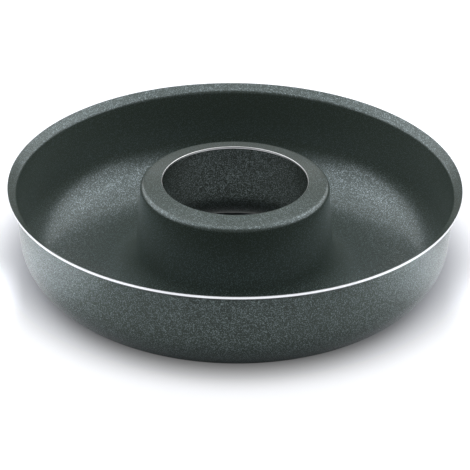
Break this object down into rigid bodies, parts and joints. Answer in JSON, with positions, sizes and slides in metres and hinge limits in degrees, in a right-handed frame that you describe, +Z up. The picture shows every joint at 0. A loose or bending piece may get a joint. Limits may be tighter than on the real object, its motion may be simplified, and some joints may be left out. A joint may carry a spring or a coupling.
{
  "type": "savarin mould",
  "caption": "Round ring-cake mould pressed from coated aluminium sheet: a deep trough round an open central chimney, with a short flared lip and bare cut edges.",
  "frame": {"origin": "centre of the foot ring, on the surface that the mould stands on", "axes": "+Z up the axis of the mould, from the foot towards the rim; X and Y are alike, because the mould is round"},
  "size_m": [0.24, 0.24, 0.0568],
  "materials": {
    "bare_aluminium": "trimmed edge, fine turned lines, bright",
    "primer": "matt black-grey primer film, hidden under the top coat",
    "non_stick": "dark green-grey non-stick film with a fine light fleck and a satin gloss"
  },
  "bodies": {
    "root": {"aluminium_body": "bare_aluminium", "inside_primer_coat": "primer", "inside_top_coat": "non_stick", "outside_primer_coat": "primer", "outside_top_coat": "non_stick"}
  },
  "joints": []
}
